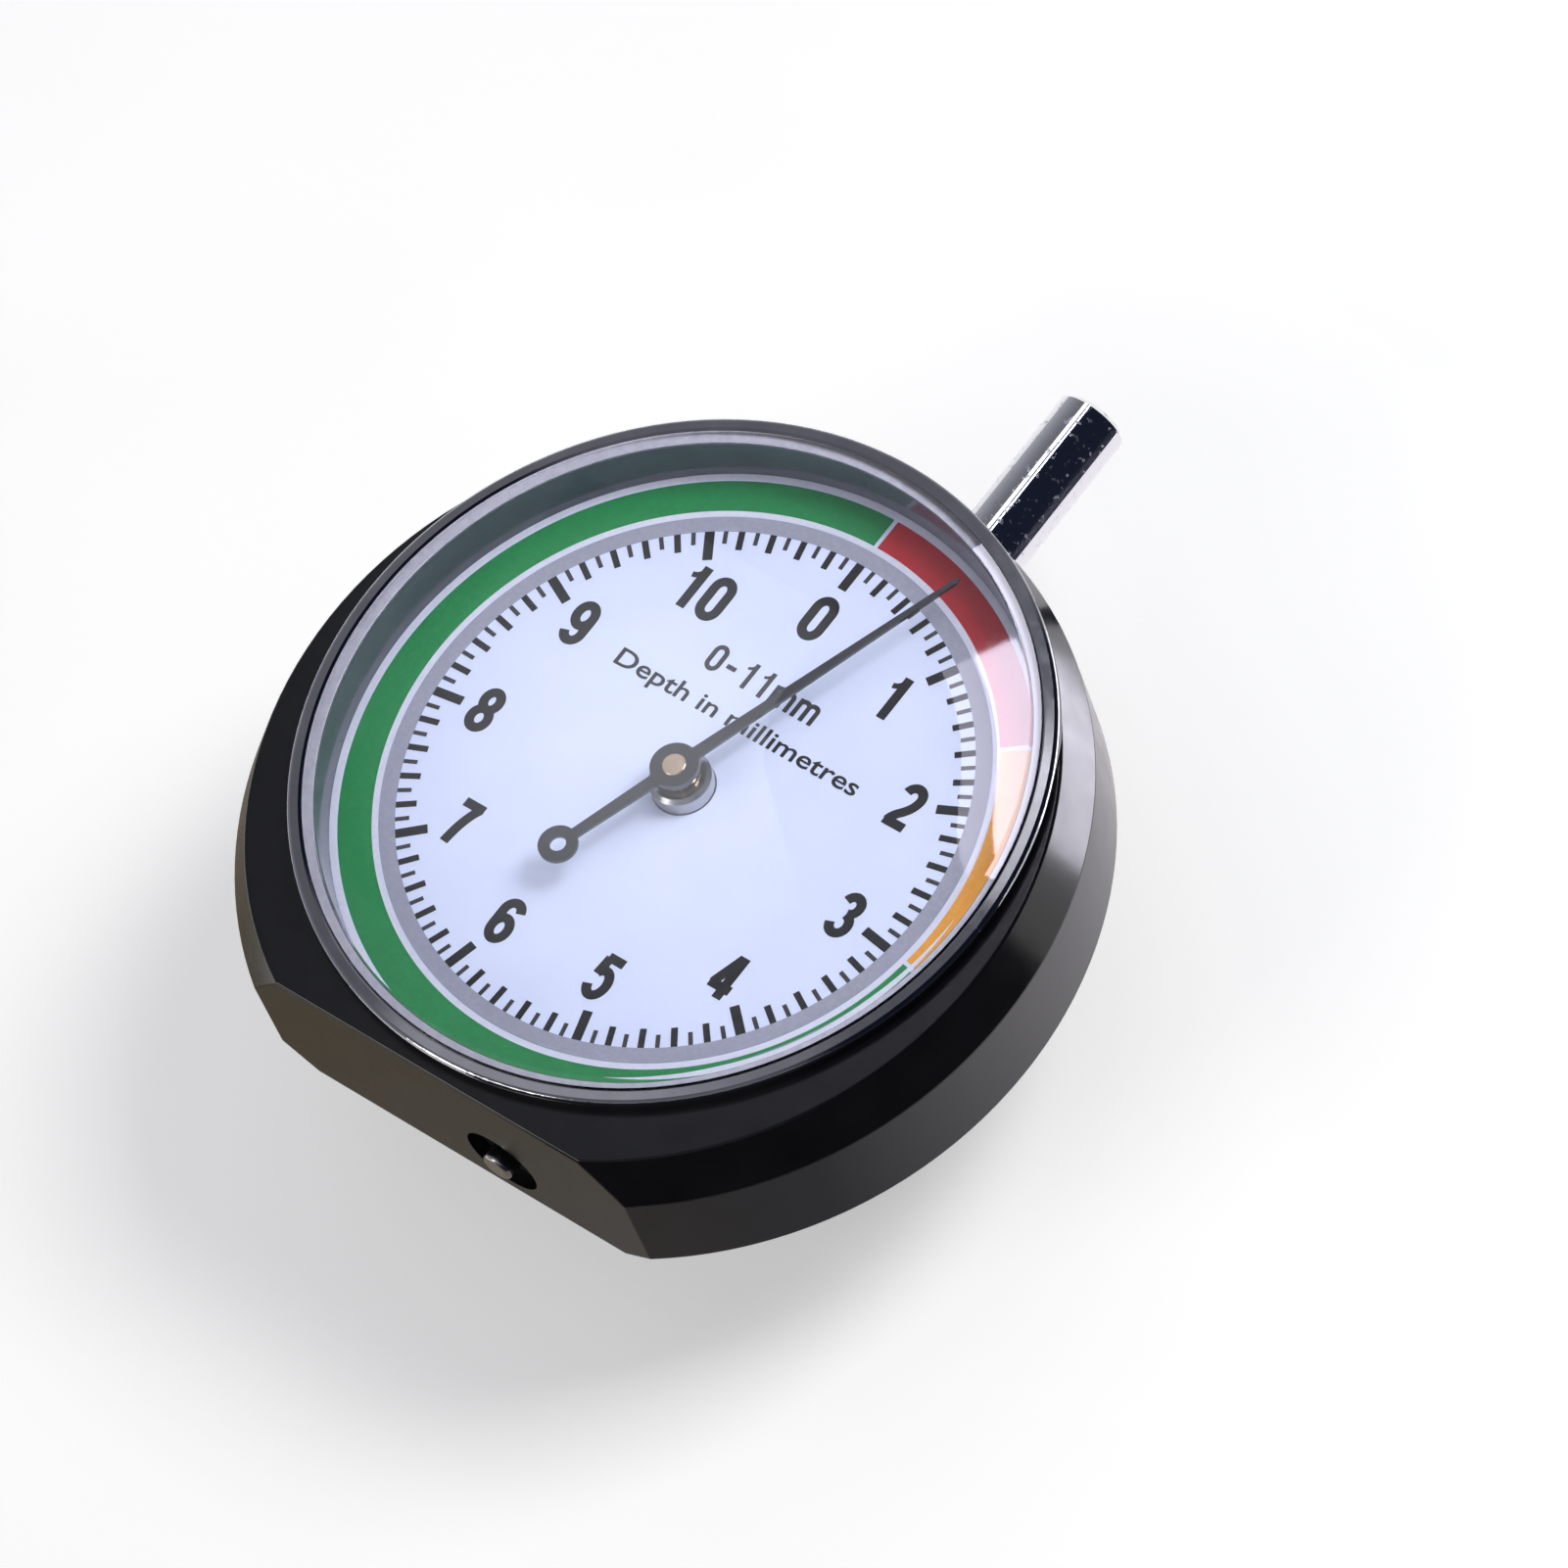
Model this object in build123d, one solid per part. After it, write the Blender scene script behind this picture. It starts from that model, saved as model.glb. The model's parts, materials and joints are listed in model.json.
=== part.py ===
from build123d import *
import os
from math import acos, cos, pi, radians, sin, tan

# Dial tyre-tread depth gauge, 0 to 11 mm, lying on its domed back.
# Millimetres. The origin is the centre of the flat on the rear cover, on the pointer arbor's axis.
# +Z runs out of the dial towards the reader, +Y towards the plunger, +X to the dial's right.

# ---- driving dimensions -------------------------------------------------------------------------
TOTAL_DEPTH = 23.0          # rear flat to crystal
TRAVEL = 10.4               # plunger travel from the resting reading to 11 mm
MM_PER_TURN = 11.0          # one turn of the pointer
REST_READING = 0.6          # how far the probe stands out of the foot at rest
POINTER_READING = 0.626     # what the pointer shows then

DIAL_Z = 18.85              # printed face of the dial
DIAL_R = 21.5
DIAL_T = 0.45

CASE_Y = -2.2               # the case's circle sits lower than the dial's
CASE_R = 25.5               # side wall
CASE_FACE_R = 24.1          # edge of the front face
CASE_BACK_R = 24.2          # edge of the rear face
CASE_FRONT_Z = 21.95
CASE_SHOULDER_Z = 18.95     # where the long front chamfer meets the side wall
CASE_HEEL_Z = 12.65         # where the side wall meets the rear chamfer
CASE_BACK_Z = 10.95
FOOT_Y = -23.55             # measuring flat
EDGE_ROUND = 0.25

SEAT_R = 21.55              # bore for rehaut and dial
PLATE_SEAT_R = 20.6         # bore for the front plate
CAVITY_R = 18.0             # bore for the movement
PLATE_SEAT_Z = 17.1
FIT = 0.05                  # radial gap of assembled pieces
RUN = 0.04                  # radial gap of running pieces

PLUNGER_X = 3.4             # plunger, rack and probe share this axis
PLUNGER_Z = 14.4
PLUNGER_R = 2.25
PLUNGER_TOP_Y = 34.1
PROBE_R = 1.0
FOOT_HOLE_R = 2.5

PINION_TEETH = 14
MODULE = 0.25
PITCH_R = MODULE * PINION_TEETH / 2
TOOTH_PITCH = pi * MODULE
PRESSURE = radians(20)
BACKLASH = 0.08
PINION_ADD = 0.25
RACK_ADD = 0.19             # shortened, so that the rack clears the small pinion's roots
ROOT_GAP = 0.06

ARBOR_R = 0.5
BLADE_Z = 20.95
BLADE_T = 0.25
REST_ANGLE = -360 * POINTER_READING / MM_PER_TURN   # clockwise from straight up

SCREW_HEAD_R = 1.2
SCREW_HEAD_T = 0.75
SCREW_R = 0.7


# ---- helpers ------------------------------------------------------------------------------------
def turned(profile, axis_y=0.0):
    """A solid of revolution about the vertical through (0, axis_y); profile is (radius, z) points."""
    face = make_face(Plane.XZ * Polyline(*profile, close=True))
    return Pos(0, axis_y, 0) * revolve(face, axis=Axis.Z)


def turned_on_plunger(profile):
    """A solid of revolution about the plunger's axis; profile is (radius, y) points."""
    face = make_face(Polyline(*profile, close=True))
    return Pos(PLUNGER_X, 0, PLUNGER_Z) * revolve(face, axis=Axis.Y)


def rod(radius, z0, z1, x=0.0, y=0.0):
    return Pos(x, y, (z0 + z1) / 2) * Cylinder(radius, z1 - z0)


def tube(outer, inner, z0, z1):
    return rod(outer, z0, z1) - rod(inner, z0 - 1, z1 + 1)


def rod_on_plunger(radius, y0, y1):
    return Pos(PLUNGER_X, (y0 + y1) / 2, PLUNGER_Z) * Rot(90, 0, 0) * Cylinder(radius, y1 - y0)


def tube_on_plunger(outer, inner, y0, y1):
    return rod_on_plunger(outer, y0, y1) - rod_on_plunger(inner, y0 - 1, y1 + 1)


def polar(radius, angle):
    return radius * cos(radians(angle)), radius * sin(radians(angle))


def screw(length, head_r=SCREW_HEAD_R, shank_r=SCREW_R):
    """A slotted screw: its head stands on z = 0 and its shank runs down."""
    head = rod(head_r, 0, SCREW_HEAD_T)
    head = chamfer(head.edges().group_by(Axis.Z)[-1], 0.15)
    slot = Pos(0, 0, SCREW_HEAD_T) * Box(2 * head_r + 1, 0.35, 0.7)
    return head + rod(shank_r, -length, 0) - slot


def group(solids):
    return Compound(children=list(solids))


parts = {}

# ---- case: a round body with a flat foot, bored from both faces ------------------------------------
case_profile = [
    (0, CASE_BACK_Z),
    (CASE_BACK_R, CASE_BACK_Z),
    (CASE_R, CASE_HEEL_Z),
    (CASE_R, CASE_SHOULDER_Z),
    (CASE_FACE_R, CASE_FRONT_Z),
    (0, CASE_FRONT_Z),
]
case = turned(case_profile, CASE_Y)
case -= Pos(0, FOOT_Y - 10, DIAL_Z) * Box(80, 20, 60)
case = fillet(case.edges(), EDGE_ROUND)
case -= rod(SEAT_R, DIAL_Z - DIAL_T, CASE_FRONT_Z + 1)
case -= rod(PLATE_SEAT_R, PLATE_SEAT_Z, CASE_FRONT_Z)
case -= rod(CAVITY_R, CASE_BACK_Z - 1, CASE_FRONT_Z)

# the plunger's bore through the top wall, with a wider seat for its bush
UPPER_BUSH_Y = (20.9, 22.8)
UPPER_BUSH_R = 2.95
case -= rod_on_plunger(PLUNGER_R + 0.1, 10, 30)
case -= rod_on_plunger(UPPER_BUSH_R + FIT, UPPER_BUSH_Y[0], 30)
# the probe's hole through the foot
case -= rod_on_plunger(FOOT_HOLE_R, -30, -10)

# tapped holes for the cover and for the front plate
COVER_SCREW_R = 20.4
COVER_SCREW_ANGLES = (45, 135, 225, 315)
PLATE_SCREW_R = 19.2
PLATE_SCREW_ANGLES = (30, 150, 225)
for angle in COVER_SCREW_ANGLES:
    x, y = polar(COVER_SCREW_R, angle)
    case -= rod(SCREW_R + FIT, CASE_BACK_Z - 1, CASE_BACK_Z + 3.6, x, y)
for angle in PLATE_SCREW_ANGLES:
    x, y = polar(PLATE_SCREW_R, angle)
    case -= rod(SCREW_R + FIT, PLATE_SEAT_Z - 2.6, PLATE_SEAT_Z + 0.5, x, y)
parts["case"] = case

# ---- rear cover: a flanged dome with a flat to lie on ----------------------------------------------
GASKET_T = 0.2
FLANGE_TOP_Z = CASE_BACK_Z - GASKET_T
FLANGE_Z = FLANGE_TOP_Z - 1.4
FLANGE_R = 21.7
DOME_R = 18.9
REAR_FLAT_R = 15.0
SPIGOT_Z = CASE_BACK_Z + 0.7
COVER_WALL = 1.7


def dome(radius, flat_r, z0, z1):
    """A flat-bottomed bowl, with a round side between the flat and its rim."""
    side = ThreePointArc((flat_r, z0), (flat_r + 0.72 * (radius - flat_r), z0 + 0.36 * (z1 - z0)), (radius, z1))
    rim = Polyline((radius, z1), (0, z1), (0, z0), (flat_r, z0))
    return revolve(make_face(Plane.XZ * Wire([side, *rim.edges()])), axis=Axis.Z)


cover = dome(DOME_R, REAR_FLAT_R, 0, FLANGE_Z)
flange = rod(FLANGE_R, FLANGE_Z, FLANGE_TOP_Z)
flange = chamfer(flange.edges().group_by(Axis.Z)[0], 0.3)
cover += flange
cover += rod(CAVITY_R - FIT, FLANGE_TOP_Z, SPIGOT_Z)
cover -= dome(CAVITY_R - 1.3, REAR_FLAT_R - 1.6, COVER_WALL, FLANGE_Z)
cover -= rod(CAVITY_R - 1.3, FLANGE_Z, SPIGOT_Z + 1)
gasket = tube(FLANGE_R - 0.15, CAVITY_R + 0.3, FLANGE_TOP_Z, CASE_BACK_Z)
cover_screws = []
for angle in COVER_SCREW_ANGLES:
    x, y = polar(COVER_SCREW_R, angle)
    hole = rod(SCREW_R + 0.15, FLANGE_Z - 1, CASE_BACK_Z + 1, x, y)
    cover -= hole
    gasket -= hole
    cover_screws.append(Pos(x, y, FLANGE_Z) * Rot(180, 0, angle) * screw(4.6))
parts["rear_cover"] = cover
parts["cover_gasket"] = gasket
parts["cover_screws"] = group(cover_screws)

# ---- front plate, pillars and rear bridge: the frame of the movement -------------------------------
PLATE_T = 1.15
PLATE_Z = (PLATE_SEAT_Z, PLATE_SEAT_Z + PLATE_T)
BRIDGE_Z = (10.2, 11.7)
PILLAR_R = 1.7
PILLARS = ((-10.0, 8.5), (-10.0, -8.5), (12.0, 0.0))
ARBOR_BUSH_SEAT_R = 1.4
REAR_BUSH_R = 1.3
HEAD_SINK = SCREW_HEAD_T + 0.05

plate = rod(PLATE_SEAT_R - FIT, *PLATE_Z) - rod(ARBOR_BUSH_SEAT_R + 0.02, PLATE_Z[0] - 1, PLATE_Z[1] + 1)
bridge_outline = make_hull([Pos(x, y) * e for x, y in PILLARS for e in Circle(3.0).edges()])
bridge = Pos(0, 0, BRIDGE_Z[0]) * extrude(bridge_outline, BRIDGE_Z[1] - BRIDGE_Z[0])
bridge -= rod(REAR_BUSH_R + 0.02, BRIDGE_Z[0] - 1, BRIDGE_Z[1] + 1)

pillars = []
bridge_screws = []
for x, y in PILLARS:
    pillar = rod(PILLAR_R, BRIDGE_Z[1], PLATE_Z[0], x, y)
    pillar -= rod(SCREW_R + FIT, BRIDGE_Z[1] - 1, PLATE_Z[0] + 1, x, y)
    pillars.append(pillar)
    plate -= rod(SCREW_R + 0.1, PLATE_Z[0] - 1, PLATE_Z[1] + 1, x, y)
    plate -= rod(SCREW_HEAD_R + 0.1, PLATE_Z[1] - HEAD_SINK, PLATE_Z[1] + 1, x, y)
    bridge -= rod(SCREW_R + 0.1, BRIDGE_Z[0] - 1, BRIDGE_Z[1] + 1, x, y)
    bridge_screws.append(Pos(x, y, PLATE_Z[1] - HEAD_SINK) * Rot(0, 0, 12 * x) * screw(2.4))
    bridge_screws.append(Pos(x, y, BRIDGE_Z[0]) * Rot(180, 0, 9 * x) * screw(3.4))

plate_screws = []
for angle in PLATE_SCREW_ANGLES:
    x, y = polar(PLATE_SCREW_R, angle)
    plate -= rod(SCREW_R + 0.1, PLATE_Z[0] - 1, PLATE_Z[1] + 1, x, y)
    plate -= rod(SCREW_HEAD_R + 0.1, PLATE_Z[1] - HEAD_SINK, PLATE_Z[1] + 1, x, y)
    plate_screws.append(Pos(x, y, PLATE_Z[1] - HEAD_SINK) * Rot(0, 0, angle) * screw(2.4))

# the guide pin on the rack runs in this slot, which keeps the rack square and ends its travel
GUIDE_R = 0.6
GUIDE_X = 3.6
GUIDE_Y = 5.0
SLOT_GAP = 0.05
slot_top = GUIDE_Y + GUIDE_R + SLOT_GAP
slot_bottom = GUIDE_Y - TRAVEL - GUIDE_R - SLOT_GAP
slot_outline = SlotOverall(slot_top - slot_bottom, 2 * (GUIDE_R + SLOT_GAP), rotation=90)
slot = extrude(slot_outline, 4)
bridge -= Pos(GUIDE_X, (slot_top + slot_bottom) / 2, BRIDGE_Z[0] - 1) * slot

parts["front_plate"] = plate
parts["rear_bridge"] = bridge
parts["pillars"] = group(pillars)
parts["bridge_screws"] = group(bridge_screws)
parts["plate_screws"] = group(plate_screws)

# ---- dial, rehaut, crystal and bezel ----------------------------------------------------------------
ARBOR_BUSH_R = 1.9
REHAUT_R = 21.15
LEDGE_T = 0.2
REHAUT_TOP_Z = CASE_FRONT_Z + LEDGE_T
CRYSTAL_R = 21.82
CRYSTAL_FLAT_R = 21.2
CRYSTAL_GASKET_T = 0.1
CRYSTAL_BOTTOM_Z = REHAUT_TOP_Z + CRYSTAL_GASKET_T
CRYSTAL_EDGE_Z = 22.88
BEZEL_R = 22.8

parts["dial"] = tube(DIAL_R, ARBOR_BUSH_R + FIT, DIAL_Z - DIAL_T, DIAL_Z)
parts["rehaut"] = tube(SEAT_R - FIT, REHAUT_R, DIAL_Z, REHAUT_TOP_Z)
parts["crystal_gasket"] = tube(CRYSTAL_R, REHAUT_R + 0.1, REHAUT_TOP_Z, CRYSTAL_BOTTOM_Z)
parts["crystal"] = turned([
    (0, CRYSTAL_BOTTOM_Z),
    (CRYSTAL_R, CRYSTAL_BOTTOM_Z),
    (CRYSTAL_R, CRYSTAL_EDGE_Z),
    (CRYSTAL_FLAT_R, TOTAL_DEPTH),
    (0, TOTAL_DEPTH),
])

# the bezel: a ledge under the crystal's edge, a band round the crystal and an upright outer wall
BEZEL_IN_R = CRYSTAL_R + 0.03
BEZEL_TOP_Z = TOTAL_DEPTH - 0.12
BEZEL_ROUND = 0.3
bezel = turned([
    (SEAT_R, CASE_FRONT_Z),
    (BEZEL_R, CASE_FRONT_Z),
    (BEZEL_R, BEZEL_TOP_Z - 0.1),
    (BEZEL_IN_R + 0.2, BEZEL_TOP_Z),
    (BEZEL_IN_R, BEZEL_TOP_Z - 0.1),
    (BEZEL_IN_R, REHAUT_TOP_Z),
    (SEAT_R, REHAUT_TOP_Z),
])
outer_edges = bezel.edges().filter_by(lambda e: e.geom_type == GeomType.CIRCLE and e.radius > BEZEL_R - 0.01)
parts["bezel"] = fillet(outer_edges.sort_by(Axis.Z)[-1], BEZEL_ROUND)

# ---- arbor and its bushes -----------------------------------------------------------------------------
ARBOR_BUSH_TOP_Z = 20.15
COLLET_Z = ARBOR_BUSH_TOP_Z + 0.15
PINION_Z = (13.1, 15.7)
REAR_BUSH_Z = (BRIDGE_Z[0] - 0.2, BRIDGE_Z[1] + 0.2)
END_FLOAT = 0.1
SHOULDER_R = 0.9

arbor_bush = rod(ARBOR_BUSH_SEAT_R, *PLATE_Z) + rod(ARBOR_BUSH_R, PLATE_Z[1], ARBOR_BUSH_TOP_Z)
arbor_bush = chamfer(arbor_bush.edges().group_by(Axis.Z)[-1], 0.25)
parts["arbor_bush"] = arbor_bush - rod(ARBOR_R + RUN, PLATE_Z[0] - 1, ARBOR_BUSH_TOP_Z + 1)
parts["rear_bush"] = tube(REAR_BUSH_R, ARBOR_R + RUN, *REAR_BUSH_Z)

arbor = rod(ARBOR_R, REAR_BUSH_Z[0], BLADE_Z + 0.1)
arbor += rod(SHOULDER_R, REAR_BUSH_Z[1] + END_FLOAT, PINION_Z[0] - 0.02)
arbor += rod(SHOULDER_R, PINION_Z[1] + 0.02, PLATE_Z[0] - END_FLOAT)
parts["arbor"] = arbor

# ---- pinion and rack ------------------------------------------------------------------------------------
def pinion_outline():
    """Involute teeth; a tooth points along +X, where the rack meets it."""
    base_r = PITCH_R * cos(PRESSURE)
    tip_r = PITCH_R + PINION_ADD
    root_r = PITCH_R - RACK_ADD - ROOT_GAP
    half_tooth = (TOOTH_PITCH - BACKLASH) / 4 / PITCH_R
    steps = 4

    def flank_angle(radius):
        """Half the tooth's angle at a radius on the involute."""
        roll = acos(min(1.0, base_r / radius))
        return half_tooth + (tan(PRESSURE) - PRESSURE) - (tan(roll) - roll)

    radii = [base_r + (tip_r - base_r) * i / steps for i in range(steps + 1)]
    flank = [(root_r, flank_angle(base_r))] + [(r, flank_angle(r)) for r in radii]
    points = []
    for tooth in range(PINION_TEETH):
        middle = 2 * pi * tooth / PINION_TEETH
        for r, a in flank:
            points.append((r * cos(middle - a), r * sin(middle - a)))
        for r, a in reversed(flank):
            points.append((r * cos(middle + a), r * sin(middle + a)))
    return make_face(Polyline(*points, close=True))


def rack_outline():
    """A bar with teeth on its left side; a gap faces the arbor at y = 0."""
    tip_x = PITCH_R - RACK_ADD
    root_x = PITCH_R + PINION_ADD + ROOT_GAP
    half_gap = (TOOTH_PITCH + BACKLASH) / 4
    gap_at_tip = half_gap + RACK_ADD * tan(PRESSURE)
    gap_at_root = half_gap - (PINION_ADD + ROOT_GAP) * tan(PRESSURE)
    points = [(tip_x, RACK_Y[0])]
    for gap in range(-2, 17):
        y = gap * TOOTH_PITCH
        points += [(tip_x, y - gap_at_tip), (root_x, y - gap_at_root)]
        points += [(root_x, y + gap_at_root), (tip_x, y + gap_at_tip)]
    points += [(tip_x, RACK_Y[1]), (RACK_BACK_X, RACK_Y[1]), (RACK_BACK_X, RACK_Y[0])]
    return make_face(Polyline(*points, close=True))


RACK_Y = (-2.9, 14.5)
RACK_BACK_X = 5.2
RACK_Z = (PLUNGER_Z - 1.5, PLUNGER_Z + 1.5)
SPIGOT_R = 1.2
SPIGOT_L = 4.5
PROBE_SOCKET = 2.0

pinion = Pos(0, 0, PINION_Z[0]) * extrude(pinion_outline(), PINION_Z[1] - PINION_Z[0])
parts["pinion"] = pinion - rod(ARBOR_R + 0.01, PINION_Z[0] - 1, PINION_Z[1] + 1)

rack = Pos(0, 0, RACK_Z[0]) * extrude(rack_outline(), RACK_Z[1] - RACK_Z[0])
rack += rod_on_plunger(SPIGOT_R, RACK_Y[1], RACK_Y[1] + SPIGOT_L)
rack -= rod_on_plunger(PROBE_R + 0.02, RACK_Y[0] - 1, RACK_Y[0] + PROBE_SOCKET)
rack -= rod(GUIDE_R + 0.02, RACK_Z[0] - 1, PLUNGER_Z, GUIDE_X, GUIDE_Y)
parts["rack"] = rack
parts["guide_pin"] = rod(GUIDE_R, BRIDGE_Z[0] - 0.2, PLUNGER_Z - 0.05, GUIDE_X, GUIDE_Y)

# ---- plunger, probe, bushes and return spring -----------------------------------------------------------
plunger = rod_on_plunger(PLUNGER_R, RACK_Y[1], PLUNGER_TOP_Y)
plunger = chamfer(plunger.edges().group_by(Axis.Y)[-1], 0.3)
parts["plunger"] = plunger - rod_on_plunger(SPIGOT_R + 0.02, RACK_Y[1] - 1, RACK_Y[1] + SPIGOT_L + 0.3)

probe_top = RACK_Y[0] + PROBE_SOCKET - 0.05
probe = rod_on_plunger(PROBE_R, FOOT_Y - REST_READING, probe_top)
parts["probe"] = fillet(probe.edges().group_by(Axis.Y)[0], 0.25)

upper_bush = rod_on_plunger(UPPER_BUSH_R, UPPER_BUSH_Y[0], UPPER_BUSH_Y[1])
parts["upper_bush"] = upper_bush - rod_on_plunger(PLUNGER_R + RUN, UPPER_BUSH_Y[0] - 1, UPPER_BUSH_Y[1] + 1)
FOOT_BUSH_Y = (FOOT_Y + 0.9, -17.4)
parts["foot_bush"] = tube_on_plunger(FOOT_HOLE_R - 0.03, PROBE_R + RUN, *FOOT_BUSH_Y)

COLLAR_T = 0.7
COLLAR_R = 2.1
collar_y = RACK_Y[0] - COLLAR_T
parts["spring_collar"] = tube_on_plunger(COLLAR_R, PROBE_R + 0.02, collar_y, RACK_Y[0])

SPRING_R = 1.55
WIRE_R = 0.17
SPRING_TURNS = 9
spring_y0 = FOOT_BUSH_Y[1] + WIRE_R + 0.02
spring_length = collar_y - WIRE_R - 0.02 - spring_y0
helix = Helix(spring_length / SPRING_TURNS, spring_length, SPRING_R)
section = Plane(origin=helix @ 0, z_dir=helix % 0) * Circle(WIRE_R)
spring = sweep(section, path=helix, is_frenet=True)
parts["return_spring"] = Pos(PLUNGER_X, spring_y0, PLUNGER_Z) * Rot(-90, 0, 0) * spring

# ---- pointer and its collet ---------------------------------------------------------------------------
HUB_R = 1.47
RIVET_R = 0.75
BLADE_L = 19.8
BLADE_W = (0.8, 0.3)
TAIL_L = 8.1
TAIL_W = (0.85, 0.6)
TAIL_RING_R = 1.2
TAIL_HOLE_R = 0.5

blade = Polyline(
    (-BLADE_W[0] / 2, 0),
    (-BLADE_W[1] / 2, BLADE_L - 0.4),
    (0, BLADE_L),
    (BLADE_W[1] / 2, BLADE_L - 0.4),
    (BLADE_W[0] / 2, 0),
    (TAIL_W[0] / 2, 0),
    (TAIL_W[1] / 2, -TAIL_L),
    (-TAIL_W[1] / 2, -TAIL_L),
    (-TAIL_W[0] / 2, 0),
    close=True,
)
pointer = Pos(0, 0, BLADE_Z) * extrude(make_face(blade), BLADE_T)
pointer += rod(HUB_R, BLADE_Z, BLADE_Z + 0.4)
pointer += rod(TAIL_RING_R, BLADE_Z, BLADE_Z + BLADE_T, 0, -TAIL_L)
pointer -= rod(TAIL_HOLE_R, BLADE_Z - 1, BLADE_Z + 1, 0, -TAIL_L)
pointer -= rod(RIVET_R + 0.01, BLADE_Z - 1, BLADE_Z + 1)
parts["pointer"] = Rot(0, 0, REST_ANGLE) * pointer

COLLET_R = 1.15
RIVET_TOP_Z = BLADE_Z + 0.5
collet = rod(COLLET_R, COLLET_Z, BLADE_Z) + rod(RIVET_R, BLADE_Z, RIVET_TOP_Z)
collet = fillet(collet.edges().group_by(Axis.Z)[-1], 0.12)
parts["pointer_collet"] = collet - rod(ARBOR_R + 0.01, COLLET_Z - 1, BLADE_Z + 0.12)

# ---- one file per piece -----------------------------------------------------------------------------------
os.makedirs("parts", exist_ok=True)
for name, part in parts.items():
    export_step(part, f"parts/{name}.step")
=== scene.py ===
import json
import math

import bmesh
import bpy
from mathutils import Euler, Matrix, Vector


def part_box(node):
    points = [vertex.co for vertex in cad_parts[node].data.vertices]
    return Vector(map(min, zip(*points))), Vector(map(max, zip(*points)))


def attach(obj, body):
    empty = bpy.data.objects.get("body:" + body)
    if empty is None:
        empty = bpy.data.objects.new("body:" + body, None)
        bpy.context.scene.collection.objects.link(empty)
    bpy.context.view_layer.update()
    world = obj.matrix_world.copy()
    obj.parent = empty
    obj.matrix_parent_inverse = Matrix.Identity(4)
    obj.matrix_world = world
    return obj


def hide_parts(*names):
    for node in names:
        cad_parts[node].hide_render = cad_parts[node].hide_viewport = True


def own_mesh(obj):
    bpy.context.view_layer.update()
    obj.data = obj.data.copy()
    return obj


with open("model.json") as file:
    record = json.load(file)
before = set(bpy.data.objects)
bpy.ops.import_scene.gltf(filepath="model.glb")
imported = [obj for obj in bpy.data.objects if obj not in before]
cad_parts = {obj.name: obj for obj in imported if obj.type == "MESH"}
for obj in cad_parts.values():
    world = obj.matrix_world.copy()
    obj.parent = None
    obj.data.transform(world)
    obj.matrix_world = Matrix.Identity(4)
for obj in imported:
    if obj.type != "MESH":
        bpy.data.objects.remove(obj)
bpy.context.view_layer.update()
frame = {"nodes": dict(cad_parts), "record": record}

# Looks of a dial tyre-tread depth gauge. The script's own lengths are millimetres, and MM turns them
# into Blender's metres. Angles on the dial are clockwise from the top, in degrees.
MM = 0.001

# ---- sizes read from the frame ---------------------------------------------------------------------
DIAL_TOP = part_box("dial")[1].z / MM
CRYSTAL_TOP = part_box("crystal")[1].z / MM

# ---- the printed dial ---------------------------------------------------------------------------------
MM_PER_TURN = 11.0          # tread depth in one turn of the pointer
DEGREES_PER_MM = 360 / MM_PER_TURN
RING_STEP = 1.5             # degrees between a printed ring's points
INK = 0.015                 # thickness of a printed layer
SUNK = 0.005                # how far a layer starts below the dial's face
TICK_OUTER_R = 17.2
MAJOR_R, MAJOR_W = 15.26, 0.60
EVEN_R, EVEN_W = 15.95, 0.40
ODD_R, ODD_W = 16.35, 0.27
GREY_RING = (17.2, 18.2)
WHITE_RING = (18.25, 18.6)
BAND = (18.6, 20.65)
OUTER_RING = (20.72, 21.1)
RED_TO, AMBER_TO = 1.6, 3.0  # millimetres of tread where each colour ends
BAND_GAP = 0.8              # degrees left white between two colours

NUMERAL_R = 13.0            # middle of a numeral above or below the arbor
NUMERAL_R_SIDE = 0.7        # how much further out it is beside the arbor
STROKE = 0.60
CAPITAL_SHARE = 0.72        # height of a capital over the font's size
SAME_POINT = 0.0005         # points of the lettering this near are joined

# ---- camera ------------------------------------------------------------------------------------------
VIEW_AZIMUTH, VIEW_ELEVATION, VIEW_ROLL = 57.85, 56.92, -23.67  # azimuth from the foot's side, anticlockwise
VIEW_DISTANCE = 631.4
VIEW_TARGET = (4.89, 3.235)  # on the dial's face
LENS, SENSOR = 251.7, 36.0

# ---- set ---------------------------------------------------------------------------------------------
FLOOR_HALF = 1500           # half the floor's side
FLOOR_Z = -0.1
FLOOR_GLOW = 0.38
CARD_HEIGHT = 400           # of the level cards above the gauge
CARD_STEPS = 16             # of a curved card
GLARE_ANGLES = (31, 78)     # on the dial, where the window is mirrored
GLARE_TAPER = 8             # how late along its arc the glare narrows
BEVEL_GLARE_ANGLES = (20, 82)
BEVEL_R = 21.1              # just inside the crystal's bevel
BEVEL_TILTS = (10.3, 11.6)  # degrees, either side of the bevel's own


# ---- materials -----------------------------------------------------------------------------------------
def shader(name, **sockets):
    """A new material, its node tree and its Principled shader, with constant sockets set on it."""
    material = bpy.data.materials.new(name)
    material.use_nodes = True
    bsdf = material.node_tree.nodes["Principled BSDF"]
    for socket, value in sockets.items():
        bsdf.inputs[socket.replace("_", " ")].default_value = value
    return material, material.node_tree, bsdf


def add(tree, kind, sockets=None, **settings):
    """A node of that kind. A socket's value is a number, or an output to link it to."""
    made = tree.nodes.new(kind)
    for name, value in settings.items():
        setattr(made, name, value)
    for name, value in (sockets or {}).items():
        if isinstance(value, bpy.types.NodeSocket):
            tree.links.new(value, made.inputs[name])
        else:
            made.inputs[name].default_value = value
    return made


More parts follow.
